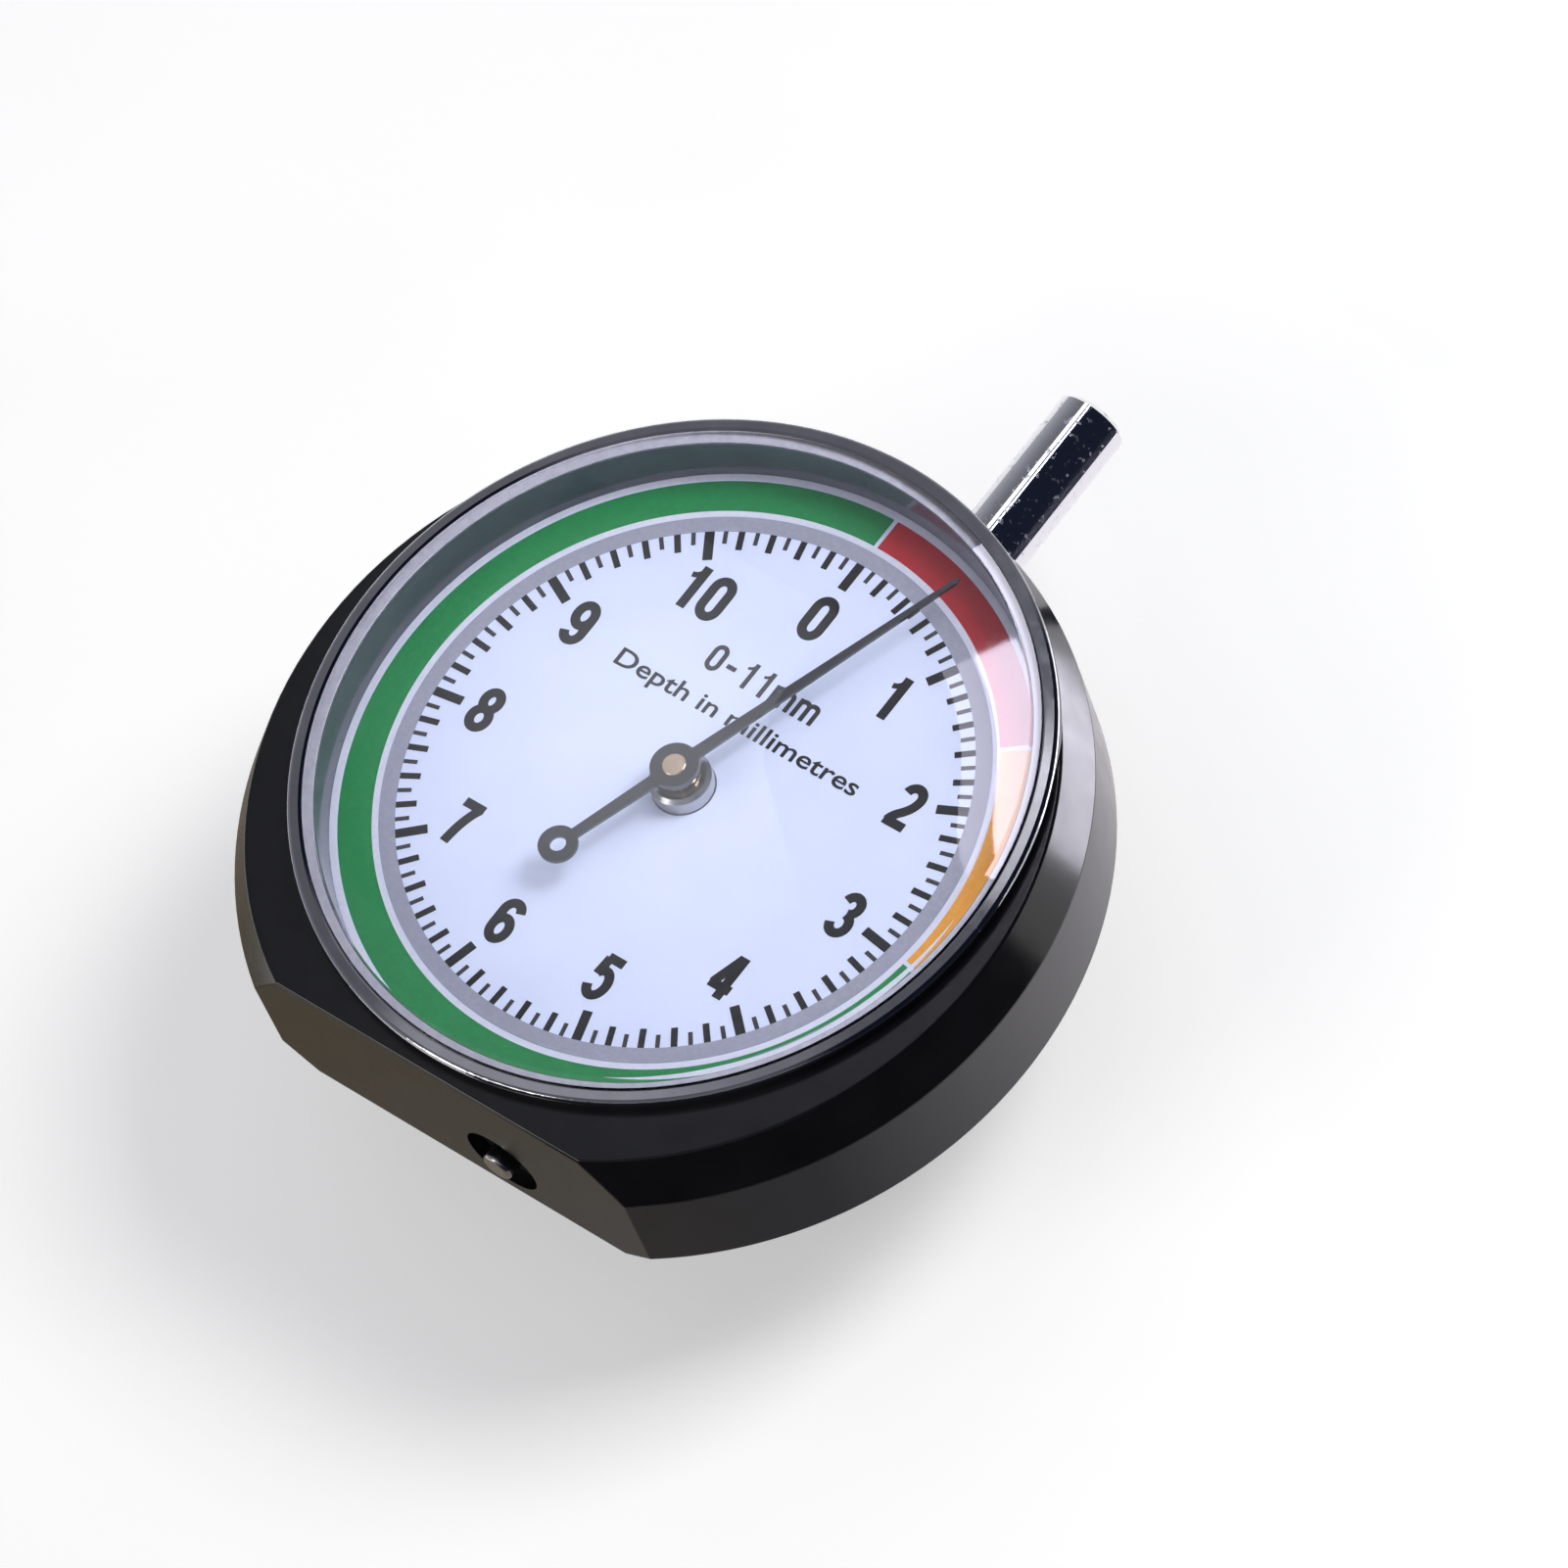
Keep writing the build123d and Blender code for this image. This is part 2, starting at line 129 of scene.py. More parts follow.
def noise(tree, size, stretch=(1, 1, 1), detail=3.0):
    """Noise with features about size millimetres across, stretched along the axes."""
    where = add(tree, "ShaderNodeTexCoord").outputs["Object"]
    scaled = add(tree, "ShaderNodeMapping", {"Vector": where, "Scale": stretch}).outputs["Vector"]
    texture = add(tree, "ShaderNodeTexNoise", {"Vector": scaled, "Scale": 1 / (size * MM), "Detail": detail})
    return texture.outputs["Fac"]


def turning(tree, pitch):
    """Fine rings round the dial's axis, as a lathe leaves them."""
    where = add(tree, "ShaderNodeTexCoord").outputs["Object"]
    wave = add(tree, "ShaderNodeTexWave",
               {"Vector": where, "Scale": 2 * math.pi / (20 * pitch * MM), "Distortion": 0.6, "Detail": 1.0},
               wave_type="RINGS", rings_direction="Z")
    return wave.outputs["Fac"]


def spread(tree, fac, low, high, start=0.3, end=0.7):
    """Turns a texture's middle values into a range."""
    sockets = {"Value": fac, "From Min": start, "From Max": end, "To Min": low, "To Max": high}
    return add(tree, "ShaderNodeMapRange", sockets).outputs["Result"]


def tones(tree, fac, dark, light, start=0.3, end=0.7):
    """A colour between two tones."""
    ramp = add(tree, "ShaderNodeValToRGB", {"Fac": fac})
    ramp.color_ramp.elements[0].position = start
    ramp.color_ramp.elements[0].color = (*dark, 1)
    ramp.color_ramp.elements[1].position = end
    ramp.color_ramp.elements[1].color = (*light, 1)
    return ramp.outputs["Color"]


def bump(tree, height, depth, strength=1.0):
    """Relief of that depth in millimetres."""
    sockets = {"Height": height, "Distance": depth * MM, "Strength": strength}
    return add(tree, "ShaderNodeBump", sockets).outputs["Normal"]


def shade(name, colour=None, rough=None, relief=None, **sockets):
    """A material from recipes: each recipe takes the node tree and returns an output."""
    material, tree, bsdf = shader(name, **sockets)
    for socket, recipe in (("Base Color", colour), ("Roughness", rough), ("Normal", relief)):
        if recipe:
            tree.links.new(recipe(tree), bsdf.inputs[socket])
    return material


def satin_black(name, dark, light, rough, grain, ior=1.5):
    """Black finish on metal: fine grain, faint cloudiness and a gloss that varies a little."""
    return shade(
        name,
        colour=lambda t: tones(t, noise(t, 3.0), dark, light),
        rough=lambda t: spread(t, noise(t, 1.6, detail=5.0), rough - 0.03, rough + 0.03),
        relief=lambda t: bump(t, noise(t, grain, detail=2.0), 0.002, 0.5),
        IOR=ior,
    )


def turned_metal(name, dark, light, rough, pitch):
    """Metal finished on a lathe: fine rings, slightly uneven tone and gloss."""
    return shade(
        name,
        colour=lambda t: tones(t, noise(t, 2.2, detail=4.0), dark, light),
        rough=lambda t: spread(t, noise(t, 0.7, detail=4.0), rough * 0.7, rough * 1.3),
        relief=lambda t: bump(t, turning(t, pitch), 0.0006),
        Metallic=1.0,
        Anisotropic=0.3,
    )


def brushed_metal(name, dark, light, rough, stretch):
    """Metal brushed one way: streaks in relief and gloss."""
    return shade(
        name,
        colour=lambda t: tones(t, noise(t, 0.5, stretch), dark, light),
        rough=lambda t: spread(t, noise(t, 0.25, stretch), rough * 0.75, rough * 1.25),
        relief=lambda t: bump(t, noise(t, 0.12, stretch), 0.0015),
        Metallic=1.0,
    )


def plated(name):
    """Bright plating with dust specks and faint lengthwise wipe marks."""
    material, tree, bsdf = shader(name, Metallic=1.0)
    specks = spread(tree, noise(tree, 0.35, detail=6.0), 0.0, 1.0, 0.60, 0.66)
    dust = add(tree, "ShaderNodeMix", {"Factor": specks}, data_type="RGBA")
    dust.inputs[6].default_value = (0.80, 0.80, 0.82, 1)
    dust.inputs[7].default_value = (0.62, 0.63, 0.68, 1)
    rough = add(tree, "ShaderNodeMath", operation="ADD")
    tree.links.new(spread(tree, noise(tree, 0.8, (1, 0.08, 1)), 0.03, 0.08), rough.inputs[0])
    tree.links.new(spread(tree, specks, 0.0, 0.35, 0.0, 1.0), rough.inputs[1])
    tree.links.new(dust.outputs[2], bsdf.inputs["Base Color"])
    tree.links.new(rough.outputs["Value"], bsdf.inputs["Roughness"])
    tree.links.new(bump(tree, noise(tree, 0.2, (1, 0.05, 1)), 0.0004), bsdf.inputs["Normal"])
    return material


def glass(name):
    """Clear crystal with faint smears in its polish."""
    return shade(
        name,
        rough=lambda t: spread(t, noise(t, 6.0, detail=5.0), 0.0, 0.02),
        Base_Color=(0.985, 0.99, 1.0, 1),
        Transmission_Weight=1.0,
        IOR=1.5,
    )


def moulded(name, dark, light, rough, grain, depth):
    """Rubber or plastic with a moulded grain."""
    return shade(
        name,
        colour=lambda t: tones(t, noise(t, grain * 3), dark, light),
        rough=lambda t: spread(t, noise(t, grain * 2), rough - 0.06, rough + 0.06),
        relief=lambda t: bump(t, noise(t, grain, detail=4.0), depth),
    )


def dial_paint(name):
    """Pale bluish lacquer: a slight mottle and the fine texture of a sprayed plate."""
    return shade(
        name,
        colour=lambda t: tones(t, noise(t, 4.0, detail=4.0), (0.575, 0.640, 0.880), (0.600, 0.665, 0.900)),
        rough=lambda t: spread(t, noise(t, 0.5), 0.32, 0.42),
        relief=lambda t: bump(t, noise(t, 0.10, detail=2.0), 0.001, 0.4),
    )


def ink(name, thin, full):
    """Screen-printed ink: its density varies a little, and so does its gloss."""
    return shade(
        name,
        colour=lambda t: tones(t, noise(t, 0.25, detail=5.0), thin, full, 0.25, 0.6),
        rough=lambda t: spread(t, noise(t, 0.3), 0.33, 0.46),
        relief=lambda t: bump(t, noise(t, 0.08, detail=2.0), 0.001, 0.5),
        Specular_IOR_Level=0.3,
    )


finishes = {
    "case_black": satin_black(
        "case_satin_black", (0.0035, 0.0035, 0.0045), (0.0055, 0.0055, 0.007), 0.20, 0.09),
    "cover_black": satin_black("cover_satin_black", (0.005, 0.005, 0.006), (0.008, 0.008, 0.009), 0.32, 0.12),
    "gasket_rubber": moulded("gasket_rubber", (0.010, 0.010, 0.011), (0.020, 0.020, 0.020), 0.75, 0.15, 0.01),
    "screw_steel": turned_metal("screw_steel", (0.46, 0.46, 0.47), (0.60, 0.60, 0.61), 0.28, 0.09),
    "bezel_chrome": turned_metal("bezel_chrome", (0.40, 0.40, 0.43), (0.48, 0.48, 0.51), 0.07, 0.05),
    "crystal_glass": glass("crystal_glass"),
    "rehaut_black": satin_black(
        "rehaut_gloss_black", (0.052, 0.057, 0.086), (0.068, 0.074, 0.108), 0.14, 0.3, 1.6),
    "dial_face": dial_paint("dial_lacquer"),
    "plate_brass": brushed_metal("plate_brass", (0.62, 0.44, 0.18), (0.80, 0.60, 0.28), 0.30, (0.05, 1, 1)),
    "arbor_steel": turned_metal("arbor_steel", (0.42, 0.41, 0.42), (0.56, 0.55, 0.56), 0.20, 0.07),
    "bush_black": moulded("bush_black", (0.006, 0.006, 0.007), (0.012, 0.012, 0.013), 0.45, 0.10, 0.004),
    "plunger_chrome": plated("plunger_chrome"),
    "spring_steel": brushed_metal("spring_steel", (0.34, 0.34, 0.36), (0.50, 0.50, 0.52), 0.25, (1, 0.3, 1)),
    "pointer_black": satin_black(
        "pointer_black", (0.004, 0.004, 0.006), (0.008, 0.008, 0.010), 0.16, 0.06, 1.9),
    "collet_brass": turned_metal("collet_brass", (0.80, 0.60, 0.42), (0.92, 0.74, 0.54), 0.24, 0.06),
}
inks = {
    "black": ink("ink_black", (0.010, 0.010, 0.012), (0.004, 0.004, 0.005)),
    "grey_black": ink("ink_grey_black", (0.040, 0.040, 0.048), (0.022, 0.022, 0.028)),
    "grey": ink("ink_grey", (0.31, 0.32, 0.42), (0.27, 0.28, 0.38)),
    "white": ink("ink_white", (0.56, 0.58, 0.74), (0.62, 0.64, 0.79)),
    "green": ink("ink_green", (0.008, 0.235, 0.070), (0.005, 0.195, 0.055)),
    "red": ink("ink_red", (0.46, 0.012, 0.024), (0.40, 0.009, 0.018)),
    "amber": ink("ink_amber", (0.78, 0.36, 0.05), (0.72, 0.31, 0.035)),
}

for part in frame["record"]["subparts"]:
    frame["nodes"][part["node"]].material_slots[0].material = finishes[part["material_slot"]]
# The gasket's pale lavender colour stands in for the bright line at the crystal's edge: a painted highlight.
frame["nodes"]["crystal_gasket"].material_slots[0].material = moulded(
    "gasket_painted_highlight", (0.66, 0.67, 0.80), (0.78, 0.79, 0.90), 0.35, 0.15, 0.004)


# ---- mesh helpers, in millimetres -----------------------------------------------------------------------
def strip(bm, left, right, top, closed=False):
    """A closed solid on the dial, between two lines of (x, y) points that run side by side."""
    low = DIAL_TOP - SUNK
    rows = []
    for a, b in zip(left, right):
        corners = ((*a, low), (*a, top), (*b, top), (*b, low))
        rows.append([bm.verts.new(corner) for corner in corners])
    pairs = list(zip(rows, rows[1:]))
    if closed:
        pairs.append((rows[-1], rows[0]))
    for one, two in pairs:
        for i in range(4):
            j = (i + 1) % 4
            bm.faces.new((one[i], one[j], two[j], two[i]))
    if not closed:
        bm.faces.new(rows[0])
        bm.faces.new(rows[-1])


def polar(radius, angle):
    """A point on the dial, clockwise from its top."""
    turn = math.radians(angle)
    return radius * math.sin(turn), radius * math.cos(turn)


def ring(bm, radii, top, start, end):
    """A ring, or a sector of one."""
    closed = end - start >= 360
    count = round((end - start) / RING_STEP)
    angles = [start + (end - start) * i / count for i in range(count if closed else count + 1)]
    inner, outer = ([polar(radius, angle) for angle in angles] for radius in radii)
    strip(bm, inner, outer, top, closed)


def tick(bm, inner, width, reading, top):
    """A graduation from the scale's outer edge inwards."""
    x, y = polar(1, reading * DEGREES_PER_MM)
    lines = []
    for side in (-width / 2, width / 2):
        lines.append([(x * r + y * side, y * r - x * side) for r in (inner, TICK_OUTER_R)])
    strip(bm, lines[0], lines[1], top)


def pen(bm, points, width, top, closed):
    """A stroke of constant width along a line of points, mitred at its corners."""
    points = [Vector(p) for p in points]
    count = len(points)
    left, right = [], []
    for i, point in enumerate(points):
        into = point - points[i - 1] if i or closed else None
        out = points[(i + 1) % count] - point if i + 1 < count or closed else None
        into = (into or out).normalized()
        out = (out or into).normalized()
        along = (into + out).normalized()
        side = Vector((-along.y, along.x)) * (width / 2 / max(0.5, along.dot(out)))
        left.append(tuple(point + side))
        right.append(tuple(point - side))
    strip(bm, left, right, top, closed)


def piece(name, bm, material, body):
    """Turns a bmesh in millimetres into a piece that rides on a body."""
    bmesh.ops.recalc_face_normals(bm, faces=bm.faces)
    bmesh.ops.scale(bm, vec=(MM, MM, MM), verts=bm.verts)
    mesh = bpy.data.meshes.new(name)
    bm.to_mesh(mesh)
    bm.free()
    mesh.materials.append(material)
    made = bpy.data.objects.new(name, mesh)
    bpy.context.scene.collection.objects.link(made)
    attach(made, body)
    return made


# ---- numerals: strokes about each figure's middle, 3 mm high ------------------------------------------
# A stroke is its points, whether it closes on itself, and its share of the full width if it is thinner.
def bend(x, y, rx, ry, start, end, steps=14):
    """Points on an ellipse, from one angle to another, anticlockwise from +X."""
    angles = [math.radians(start + (end - start) * i / steps) for i in range(steps + 1)]
    return [(x + rx * math.cos(a), y + ry * math.sin(a)) for a in angles]


def sweep(a, b, c, steps=10):
    """Points on a curve from a to c that leans towards b."""
    a, b, c = Vector(a), Vector(b), Vector(c)
    shares = [i / steps for i in range(steps + 1)]
    return [tuple((1 - t) ** 2 * a + 2 * t * (1 - t) * b + t * t * c) for t in shares]


def closed_loop(points):
    """The same points without the last, which repeats the first."""
    return points[:-1]


ZERO = bend(0, 0.62, 0.555, 0.66, 0, 180) + bend(0, -0.62, 0.555, 0.66, 180, 360)
SIX = (
    (closed_loop(bend(0, -0.55, 0.545, 0.73, 0, 360, 28)), True),
    (bend(0, 0.62, 0.545, 0.66, 15, 180) + [(-0.545, -0.55)], False),
)
FIGURES = {
    "0": ((ZERO, True),),
    "1": (([(0.22, -1.5), (0.22, 1.5)], False),
          (sweep((-0.46, 0.66), (0.08, 0.74), (0.22, 1.36)), False, 0.6)),
    "2": ((bend(0, 0.70, 0.53, 0.58, 172, 0) + sweep((0.53, 0.70), (0.50, 0.05), (-0.05, -0.52))[1:]
           + sweep((-0.05, -0.52), (-0.45, -0.92), (-0.5, -1.28))[1:], False),
          ([(-0.72, -1.28), (0.72, -1.28)], False)),
    "3": ((bend(-0.02, 0.70, 0.50, 0.58, 168, -90), False),
          (bend(-0.02, -0.62, 0.56, 0.66, 90, -168), False)),
    "4": (([(0.26, -1.5), (0.26, 1.5)], False), ([(0.16, 1.42), (-0.56, -0.72)], False),
          ([(-0.76, -0.74), (0.74, -0.74)], False)),
    "5": (([(-0.50, 1.28), (0.64, 1.28)], False), ([(-0.36, 1.28), (-0.44, 0.05)], False),
          (bend(-0.02, -0.42, 0.56, 0.86, 140, -160, 20), False)),
    "6": SIX,
    "7": (([(-0.72, 1.28), (0.72, 1.28)], False),
          (sweep((0.50, 1.28), (-0.08, 0.30), (-0.20, -1.5)), False)),
    "8": ((closed_loop(bend(0, 0.66, 0.49, 0.62, 0, 360, 28)), True),
          (closed_loop(bend(0, -0.62, 0.555, 0.66, 0, 360, 28)), True)),
    "9": tuple(([(-x, -y) for x, y in points], closed) for points, closed in SIX),
    "-": (([(-0.5, -0.2), (0.5, -0.2)], False),),
    "m": (([(-0.95, -1.5), (-0.95, 0.68)], False),
          (bend(-0.475, 0.08, 0.475, 0.42, 160, 0) + [(0, -1.5)], False),
          (bend(0.475, 0.08, 0.475, 0.42, 160, 0) + [(0.95, -1.5)], False)),
}
PITCH = {"-": 1.7, "m": 2.7}
FIGURE_PITCH = 1.85         # any other figure's
LAYER = 0.0005              # each stroke's top is this much above the last one's


def figures_line(bm, text, x, y, wide=1.0, tall=1.0, stroke=STROKE):
    """Figures side by side about (x, y)."""
    widths = [PITCH.get(figure, FIGURE_PITCH) * wide for figure in text]
    left = x - sum(widths) / 2
    for place, figure in enumerate(text):
        middle = left + sum(widths[:place]) + widths[place] / 2
        for layer, (points, closed, *share) in enumerate(FIGURES[figure]):
            top = DIAL_TOP + INK + LAYER * layer
            width = stroke * share[0] if share else stroke
            pen(bm, [(middle + px * wide, y + py * tall) for px, py in points], width, top, closed)


# ---- dial print --------------------------------------------------------------------------------------
def print_ring(name, radii, colour, start=0.0, end=360.0):
    """A printed ring, or a sector of one, as its own piece."""
    bm = bmesh.new()
    ring(bm, radii, DIAL_TOP + INK, start, end)
    piece(name, bm, inks[colour], "case")


def sector(name, colour, reading_from, reading_to):
    """A coloured stretch of the band between two tread depths."""
    half_gap = BAND_GAP / 2
    start = reading_from * DEGREES_PER_MM + half_gap
    print_ring(name, BAND, colour, start, reading_to * DEGREES_PER_MM - half_gap)


print_ring("dial_grey_ring", GREY_RING, "grey")
print_ring("dial_white_ring", WHITE_RING, "white")
print_ring("dial_outer_ring", OUTER_RING, "white")
sector("dial_red_sector", "red", 0, RED_TO)
sector("dial_amber_sector", "amber", RED_TO, AMBER_TO)
sector("dial_green_sector", "green", AMBER_TO, MM_PER_TURN)

major, minor, faint = bmesh.new(), bmesh.new(), bmesh.new()
for tenth in range(round(MM_PER_TURN * 10)):
    if tenth % 10 == 0:
        tick(major, MAJOR_R, MAJOR_W, tenth / 10, DIAL_TOP + INK)
    elif tenth % 2 == 0:
        tick(minor, EVEN_R, EVEN_W, tenth / 10, DIAL_TOP + INK)
    else:
        tick(faint, ODD_R, ODD_W, tenth / 10, DIAL_TOP + INK)
piece("dial_millimetre_ticks", major, inks["black"], "case")
piece("dial_even_ticks", minor, inks["black"], "case")
piece("dial_odd_ticks", faint, inks["grey_black"], "case")

figures = bmesh.new()
for reading in range(round(MM_PER_TURN)):
    angle = reading * DEGREES_PER_MM
    reach = NUMERAL_R + NUMERAL_R_SIDE * math.sin(math.radians(angle)) ** 4
    figures_line(figures, str(reading), *polar(reach, angle))
piece("dial_numerals", figures, inks["black"], "case")
scale_range = bmesh.new()
figures_line(scale_range, "0-11mm", -0.05, 7.85, 0.66, 0.60, 0.30)
piece("dial_range_text", scale_range, inks["grey_black"], "case")


def caption(name, text, height, width, middle, colour, weight):
    """A line of small print, fitted to a height and a width, and thickened by weight."""
    curve = bpy.data.curves.new(name, "FONT")
    curve.body = text
    curve.align_x = "CENTER"
    curve.size = height / CAPITAL_SHARE
    curve.extrude = (INK + SUNK) / 2
    curve.offset = weight
    curve.resolution_u = 4
    lettering = bpy.data.objects.new(name + "_curve", curve)
    bpy.context.scene.collection.objects.link(lettering)
    bpy.context.view_layer.update()
    drawn = bpy.data.meshes.new_from_object(lettering.evaluated_get(bpy.context.evaluated_depsgraph_get()))
    bpy.data.objects.remove(lettering)
    bm = bmesh.new()
    bm.from_mesh(drawn)
    bpy.data.meshes.remove(drawn)
    bmesh.ops.remove_doubles(bm, verts=bm.verts, dist=SAME_POINT)
    xs = [v.co.x for v in bm.verts]
    squeeze = width / (max(xs) - min(xs))
    for vertex in bm.verts:
        vertex.co.x = (vertex.co.x - (max(xs) + min(xs)) / 2) * squeeze + middle[0]
        vertex.co.y += middle[1] - height / 2
        vertex.co.z += DIAL_TOP + (INK - SUNK) / 2
    piece(name, bm, inks[colour], "case")


caption("dial_unit_text", "Depth in millimetres", 1.2, 18.0, (0.1, 5.1), "black", 0.018)


# ---- return spring: a coil with closed ends, in place of the plain one ------------------------------------
def return_spring():
    """The coil, with closed turns at both ends, in the plain spring's place."""
    low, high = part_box("return_spring")
    wire = 0.17
    coil = (high.x - low.x) / 2 / MM - wire
    centre = (low + high) / 2 / MM
    start, end = low.y / MM + wire, high.y / MM - wire
    turns, closed_turns = 10.0, 0.9
    per_turn, around = 36, 12
    open_length = end - start - 4 * wire * closed_turns
    lift = [0.0]
    steps = round(turns * per_turn)
    for i in range(steps):
        turn = i / per_turn
        dead = turn < closed_turns or turn >= turns - closed_turns
        rise = 2 * wire if dead else open_length / (turns - 2 * closed_turns)
        lift.append(lift[-1] + rise / per_turn)
    bm = bmesh.new()
    rings = []
    for i, rise in enumerate(lift):
        a = 2 * math.pi * i / per_turn
        outward = Vector((math.cos(a), 0, math.sin(a)))
        middle = Vector((centre.x, start + rise, centre.z)) + outward * coil
        section = []
        for k in range(around):
            b = 2 * math.pi * k / around
            offset = outward * wire * math.cos(b) + Vector((0, wire * math.sin(b), 0))
            section.append(bm.verts.new(middle + offset))
        rings.append(section)
    for one, two in zip(rings, rings[1:]):
        for k in range(around):
            m = (k + 1) % around
            bm.faces.new((one[k], one[m], two[m], two[k])).smooth = True
    bm.faces.new(rings[0])
    bm.faces.new(rings[-1])
    made = piece("return_spring_coil", bm, finishes["spring_steel"], "case")
    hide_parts("return_spring")
    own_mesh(made)


return_spring()


# ---- floor, light and camera ------------------------------------------------------------------------------
def emitter(name, strength):
    """A new material that only glows, its node tree and its emission node."""
    material = bpy.data.materials.new(name)
    material.use_nodes = True
    tree = material.node_tree
    tree.nodes.clear()
    glow = add(tree, "ShaderNodeEmission", {"Strength": strength})
    add(tree, "ShaderNodeOutputMaterial", {"Surface": glow.outputs["Emission"]})
    return material, tree, glow


def emission(name, colour, strength, fade=None):
    """A glow. With fade, it falls from full at one distance from a place to nothing at another."""
    material, tree, glow = emitter(name, strength)
    glow.inputs["Color"].default_value = (*colour, 1)
    if fade:
        place, full, none = fade
        where = add(tree, "ShaderNodeTexCoord").outputs["Object"]
        away = add(tree, "ShaderNodeVectorMath", {0: where, 1: place * MM}, operation="DISTANCE")
        fading = spread(tree, away.outputs["Value"], strength, 0, full * MM, none * MM)
        tree.links.new(fading, glow.inputs["Strength"])
    return material


def floor():
    """White paper on a light table, which keeps the gauge's shadow faint."""
    material = shade(
        "floor_paper",
        colour=lambda t: tones(t, noise(t, 40.0), (0.86, 0.86, 0.86), (0.90, 0.90, 0.90)),
        relief=lambda t: bump(t, noise(t, 0.8), 0.01),
        Roughness=0.8,
        Emission_Color=(1.0, 1.0, 1.0, 1),
        Emission_Strength=FLOOR_GLOW,
    )
    mesh = bpy.data.meshes.new("floor")
    signs = ((-1, -1), (1, -1), (1, 1), (-1, 1))
    corners = [(x * FLOOR_HALF * MM, y * FLOOR_HALF * MM, FLOOR_Z * MM) for x, y in signs]
    mesh.from_pydata(corners, [], [(0, 1, 2, 3)])
    mesh.materials.append(material)
    made = bpy.data.objects.new("floor", mesh)
    bpy.context.scene.collection.objects.link(made)


def direction(azimuth, elevation):
    """A direction, with azimuth anticlockwise from +X."""
    a, e = math.radians(azimuth), math.radians(elevation)
    return Vector((math.cos(a) * math.cos(e), math.sin(a) * math.cos(e), math.sin(e)))


def lamp(name, azimuth, elevation, distance, size, watts, colour=(1, 1, 1), glossy=True):
    """A square soft light that points at the gauge."""
    data = bpy.data.lights.new(name, "AREA")
    data.size = size
    data.energy = watts
    data.color = colour
    made = bpy.data.objects.new(name, data)
    made.location = direction(azimuth, elevation) * distance
    made.rotation_euler = made.location.to_track_quat("Z", "Y").to_euler()
    made.visible_camera = False
    made.visible_glossy = glossy
    bpy.context.scene.collection.objects.link(made)


def only_reflected(name, points, faces, material):
    """A card that lights nothing and is seen only in reflections."""
    mesh = bpy.data.meshes.new(name)
    mesh.from_pydata(points, [], faces)
    mesh.materials.append(material)
    made = bpy.data.objects.new(name, mesh)
    made.visible_camera = False
    made.visible_diffuse = False
    made.visible_transmission = False
    made.visible_shadow = False
    bpy.context.scene.collection.objects.link(made)


def curved_card(name, points, material):
    """A card through pairs of points, one pair after another."""
    faces = [(i, i + 2, i + 3, i + 1) for i in range(0, len(points) - 2, 2)]
    only_reflected(name, points, faces, material)


def spaced(start, end):
    """Pairs along a curved card: a share from 0 to 1, and the angle there."""
    return [(i / CARD_STEPS, start + (end - start) * i / CARD_STEPS) for i in range(CARD_STEPS + 1)]


def reflector_arc(name, colour, strength, start, end, radius, high, high_end):
    """A curved upright card on the floor. Angles are anticlockwise from +X, and its height runs from high
    to high_end."""
    points = []
    for share, angle in spaced(start, end):
        foot = direction(angle, 0) * radius * MM
        points += [foot, foot + Vector((0, 0, (high + (high_end - high) * share) * MM))]
    curved_card(name, points, emission(name, colour, strength))


def ceiling_card(name, colour, strength, x_range, y_range):
    """A level card above the gauge."""
    (x0, x1), (y0, y1) = x_range, y_range
    corners = [(x * MM, y * MM, CARD_HEIGHT * MM) for x, y in ((x0, y0), (x1, y0), (x1, y1), (x0, y1))]
    only_reflected(name, corners, [(0, 1, 2, 3)], emission(name, colour, strength))


def in_crystal(x, y):
    """Where a card above must be for the camera to see it mirrored in the crystal over (x, y) of the dial."""
    eye = camera_place() / MM
    line = Vector((x, y, DIAL_TOP)) - eye
    seen = eye + line * (CRYSTAL_TOP - eye.z) / line.z
    image = Vector((eye.x, eye.y, 2 * CRYSTAL_TOP - eye.z))
    return image + (seen - image) * (CARD_HEIGHT - image.z) / (CRYSTAL_TOP - image.z)


def window_glare(name, strength, inner_radius, outer_radius):
    """A window mirrored on the right of the crystal: a crescent that narrows at its lower end."""
    points = []
    for share, angle in spaced(*GLARE_ANGLES):
        for radius in (inner_radius + (outer_radius - inner_radius) * share ** GLARE_TAPER, outer_radius):
            points.append(in_crystal(*polar(radius, angle)) * MM)
    curved_card(name, points, emission(name, (0.86, 0.82, 1.0), strength))


def bevel_glare():
    """The same window in the crystal's bevel, whose tilt turns the eye to another place on the wall."""
    eye = camera_place() / MM
    points = []
    for _, angle in spaced(*BEVEL_GLARE_ANGLES):
        on_bevel = Vector((*polar(BEVEL_R, angle), CRYSTAL_TOP))
        for tilt in BEVEL_TILTS:
            lean = math.sin(math.radians(tilt))
            normal = Vector((*polar(lean, angle), math.sqrt(1 - lean * lean)))
            seen = (on_bevel - eye).reflect(normal)
            points.append((on_bevel + seen * (CARD_HEIGHT - CRYSTAL_TOP) / seen.z) * MM)
    curved_card("bevel_glare", points, emission("bevel_glare", (0.86, 0.84, 1.0), 12.0))


def plunger_shade():
    """A dark card on the plunger's right, which widens the dark band it mirrors."""
    low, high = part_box("plunger")
    x, z = high.x + 5 * MM, (low.z + high.z) / 2
    y0, y1, z0, z1 = 23 * MM, high.y + 4 * MM, z - 2.2 * MM, z + 3 * MM
    corners = [(x, y0, z0), (x, y1, z0), (x, y1, z1), (x, y0, z1)]
    dark = emission("plunger_shade", (0.010, 0.013, 0.026), 1.0)
    only_reflected("plunger_shade", corners, [(0, 1, 2, 3)], dark)


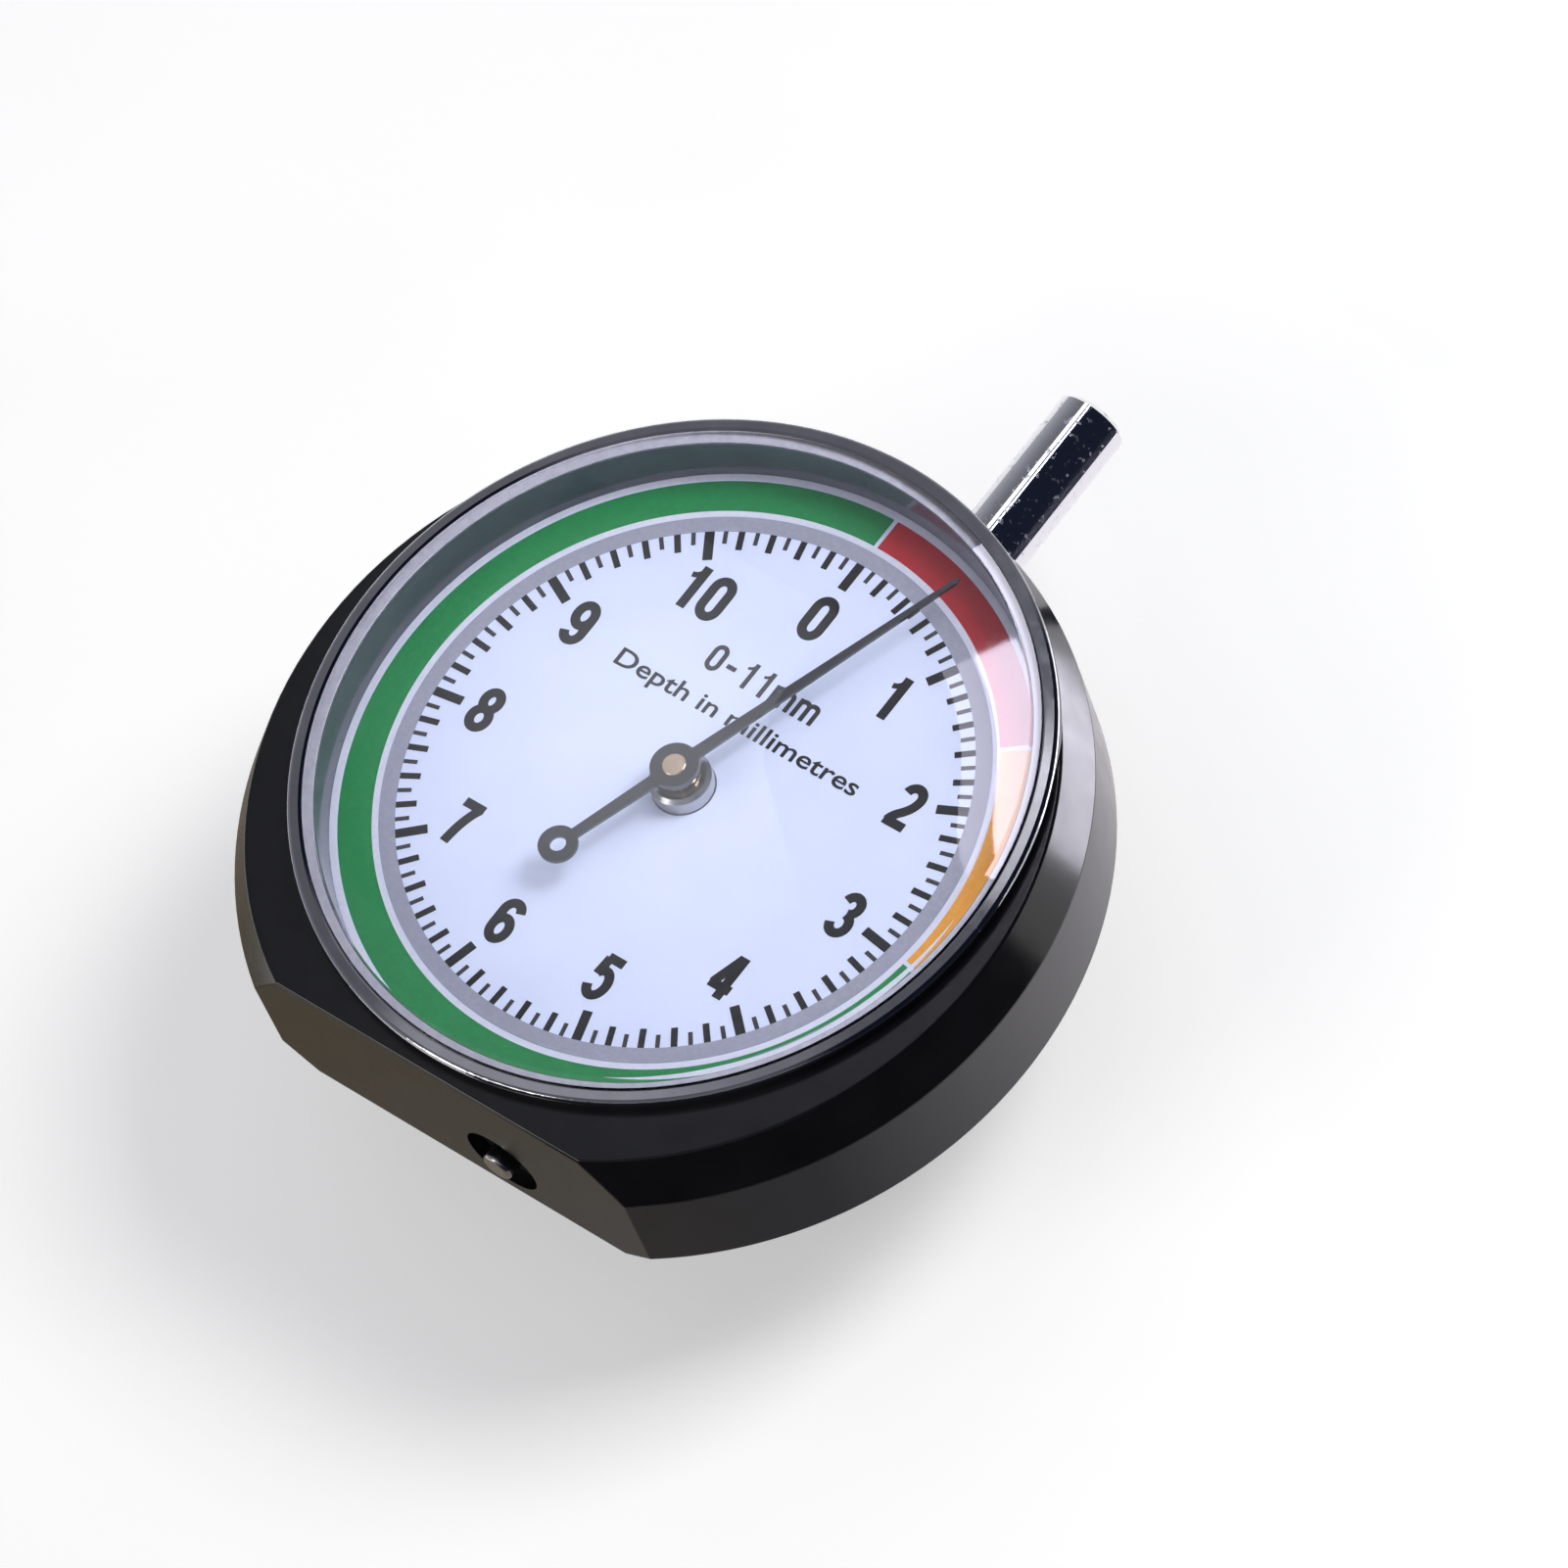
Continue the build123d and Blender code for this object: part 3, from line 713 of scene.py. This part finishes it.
def veil():
    """A pale wall mirrored over the left of the dial, with the straight edge the photograph shows."""
    outline = [(0.6, 14), (1.2, 6.6), (3.0, 3.7), (9.3, -1.4), (14, -6), (0, -18), (-19, -14), (-19, 14)]
    corners = [in_crystal(x, y) * MM for x, y in outline]
    wall = emission("veil", (0.88, 0.90, 1.0), 2.2, fade=(in_crystal(-4.0, 1.0), 6, 30))
    only_reflected("veil", corners, [tuple(range(len(corners)))], wall)


def floor_tint():
    """What the case's walls mirror, painted as a glowing disc: a warm dim floor by the foot, painted shade
    where the gauge's shadow falls, brighter and cooler to the upper right.
    """
    material, tree, glow = emitter("floor_tint", 3.0)
    where = add(tree, "ShaderNodeTexCoord").outputs["Object"]
    across = add(tree, "ShaderNodeVectorMath", {0: where, 1: Vector((0.5, 0.87, 0))}, operation="DOT_PRODUCT")
    place = spread(tree, across.outputs["Value"], 0, 1, -34 * MM, 22 * MM)
    # Painted reflection: dim and warm where the gauge shades the floor, bright and cool towards the light.
    ramp = add(tree, "ShaderNodeValToRGB", {"Fac": place})
    stops = ramp.color_ramp.elements
    stops[0].position, stops[0].color = 0.0, (0.078, 0.065, 0.046, 1)
    stops[1].position, stops[1].color = 1.0, (0.335, 0.325, 0.345, 1)
    middle = stops.new(0.55)
    middle.color = (0.097, 0.095, 0.106, 1)
    tree.links.new(ramp.outputs["Color"], glow.inputs["Color"])
    steps, radius, lift = 48, 54, 0.2
    rim = [direction(360 * i / steps, 0) * radius * MM + Vector((0, 0, lift * MM)) for i in range(steps)]
    only_reflected("floor_tint", rim, [tuple(range(steps))], material)


def sky():
    """A soft grey studio, darker behind the key light."""
    world = bpy.data.worlds.new("studio")
    world.use_nodes = True
    tree = world.node_tree
    up = add(tree, "ShaderNodeTexCoord").outputs["Generated"]
    height = add(tree, "ShaderNodeSeparateXYZ", {"Vector": up}).outputs["Z"]
    glow = tones(tree, height, (0.42, 0.43, 0.48), (0.17, 0.175, 0.20), 0.0, 0.8)
    towards = add(tree, "ShaderNodeVectorMath", {0: up, 1: direction(35, 35)}, operation="DOT_PRODUCT")
    dark = spread(tree, towards.outputs["Value"], 0, 1, 0.55, 0.70)
    colours = {"Factor": dark, 6: glow, 7: (0.010, 0.013, 0.026, 1)}
    mixed = add(tree, "ShaderNodeMix", colours, data_type="RGBA")
    tree.links.new(mixed.outputs[2], tree.nodes["Background"].inputs["Color"])
    bpy.context.scene.world = world


def camera_place():
    """The camera's place, in metres."""
    target = Vector((*VIEW_TARGET, DIAL_TOP)) * MM
    return target + direction(VIEW_AZIMUTH - 90, VIEW_ELEVATION) * VIEW_DISTANCE * MM


def camera():
    """The photograph's view."""
    data = bpy.data.cameras.new("camera")
    data.lens, data.sensor_width = LENS, SENSOR
    data.clip_start, data.clip_end = 0.05, 20
    made = bpy.data.objects.new("camera", data)
    back = direction(VIEW_AZIMUTH - 90, VIEW_ELEVATION)
    made.location = camera_place()
    roll = Euler((0, 0, math.radians(VIEW_ROLL))).to_quaternion()
    made.rotation_euler = (back.to_track_quat("Z", "Y") @ roll).to_euler()
    bpy.context.scene.collection.objects.link(made)
    bpy.context.scene.camera = made


floor()
sky()
camera()
frame["nodes"]["crystal"].visible_shadow = False  # so the lamps light the dial through it
lamp("key", 52, 52, 0.6, 0.24, 1.9, (1.0, 0.99, 0.97), glossy=False)
lamp("overhead", 140, 75, 0.8, 0.8, 0.6, (0.92, 0.95, 1.0), glossy=False)
lamp("front", -110, 30, 0.7, 0.35, 1.1, (1.0, 0.95, 0.88))
ceiling_card("strip_glow", (0.95, 0.96, 1.0), 2.2, (-155, -75), (130, 195))
ceiling_card("low_glow", (0.90, 0.92, 1.0), 0.55, (-230, -90), (-60, 70))
reflector_arc("right_glow", (0.90, 0.88, 1.0), 9.5, 36, 76, 55, 13, 4)
reflector_arc("low_dark", (0.02, 0.02, 0.03), 1.0, -100, 18, 56, 40, 40)
window_glare("window_glare", 19.0, 18.4, 21.0)
window_glare("window_haze", 5.0, 16.3, 18.4)
bevel_glare()
plunger_shade()
veil()
floor_tint()
bpy.context.scene.view_settings.view_transform = "Standard"
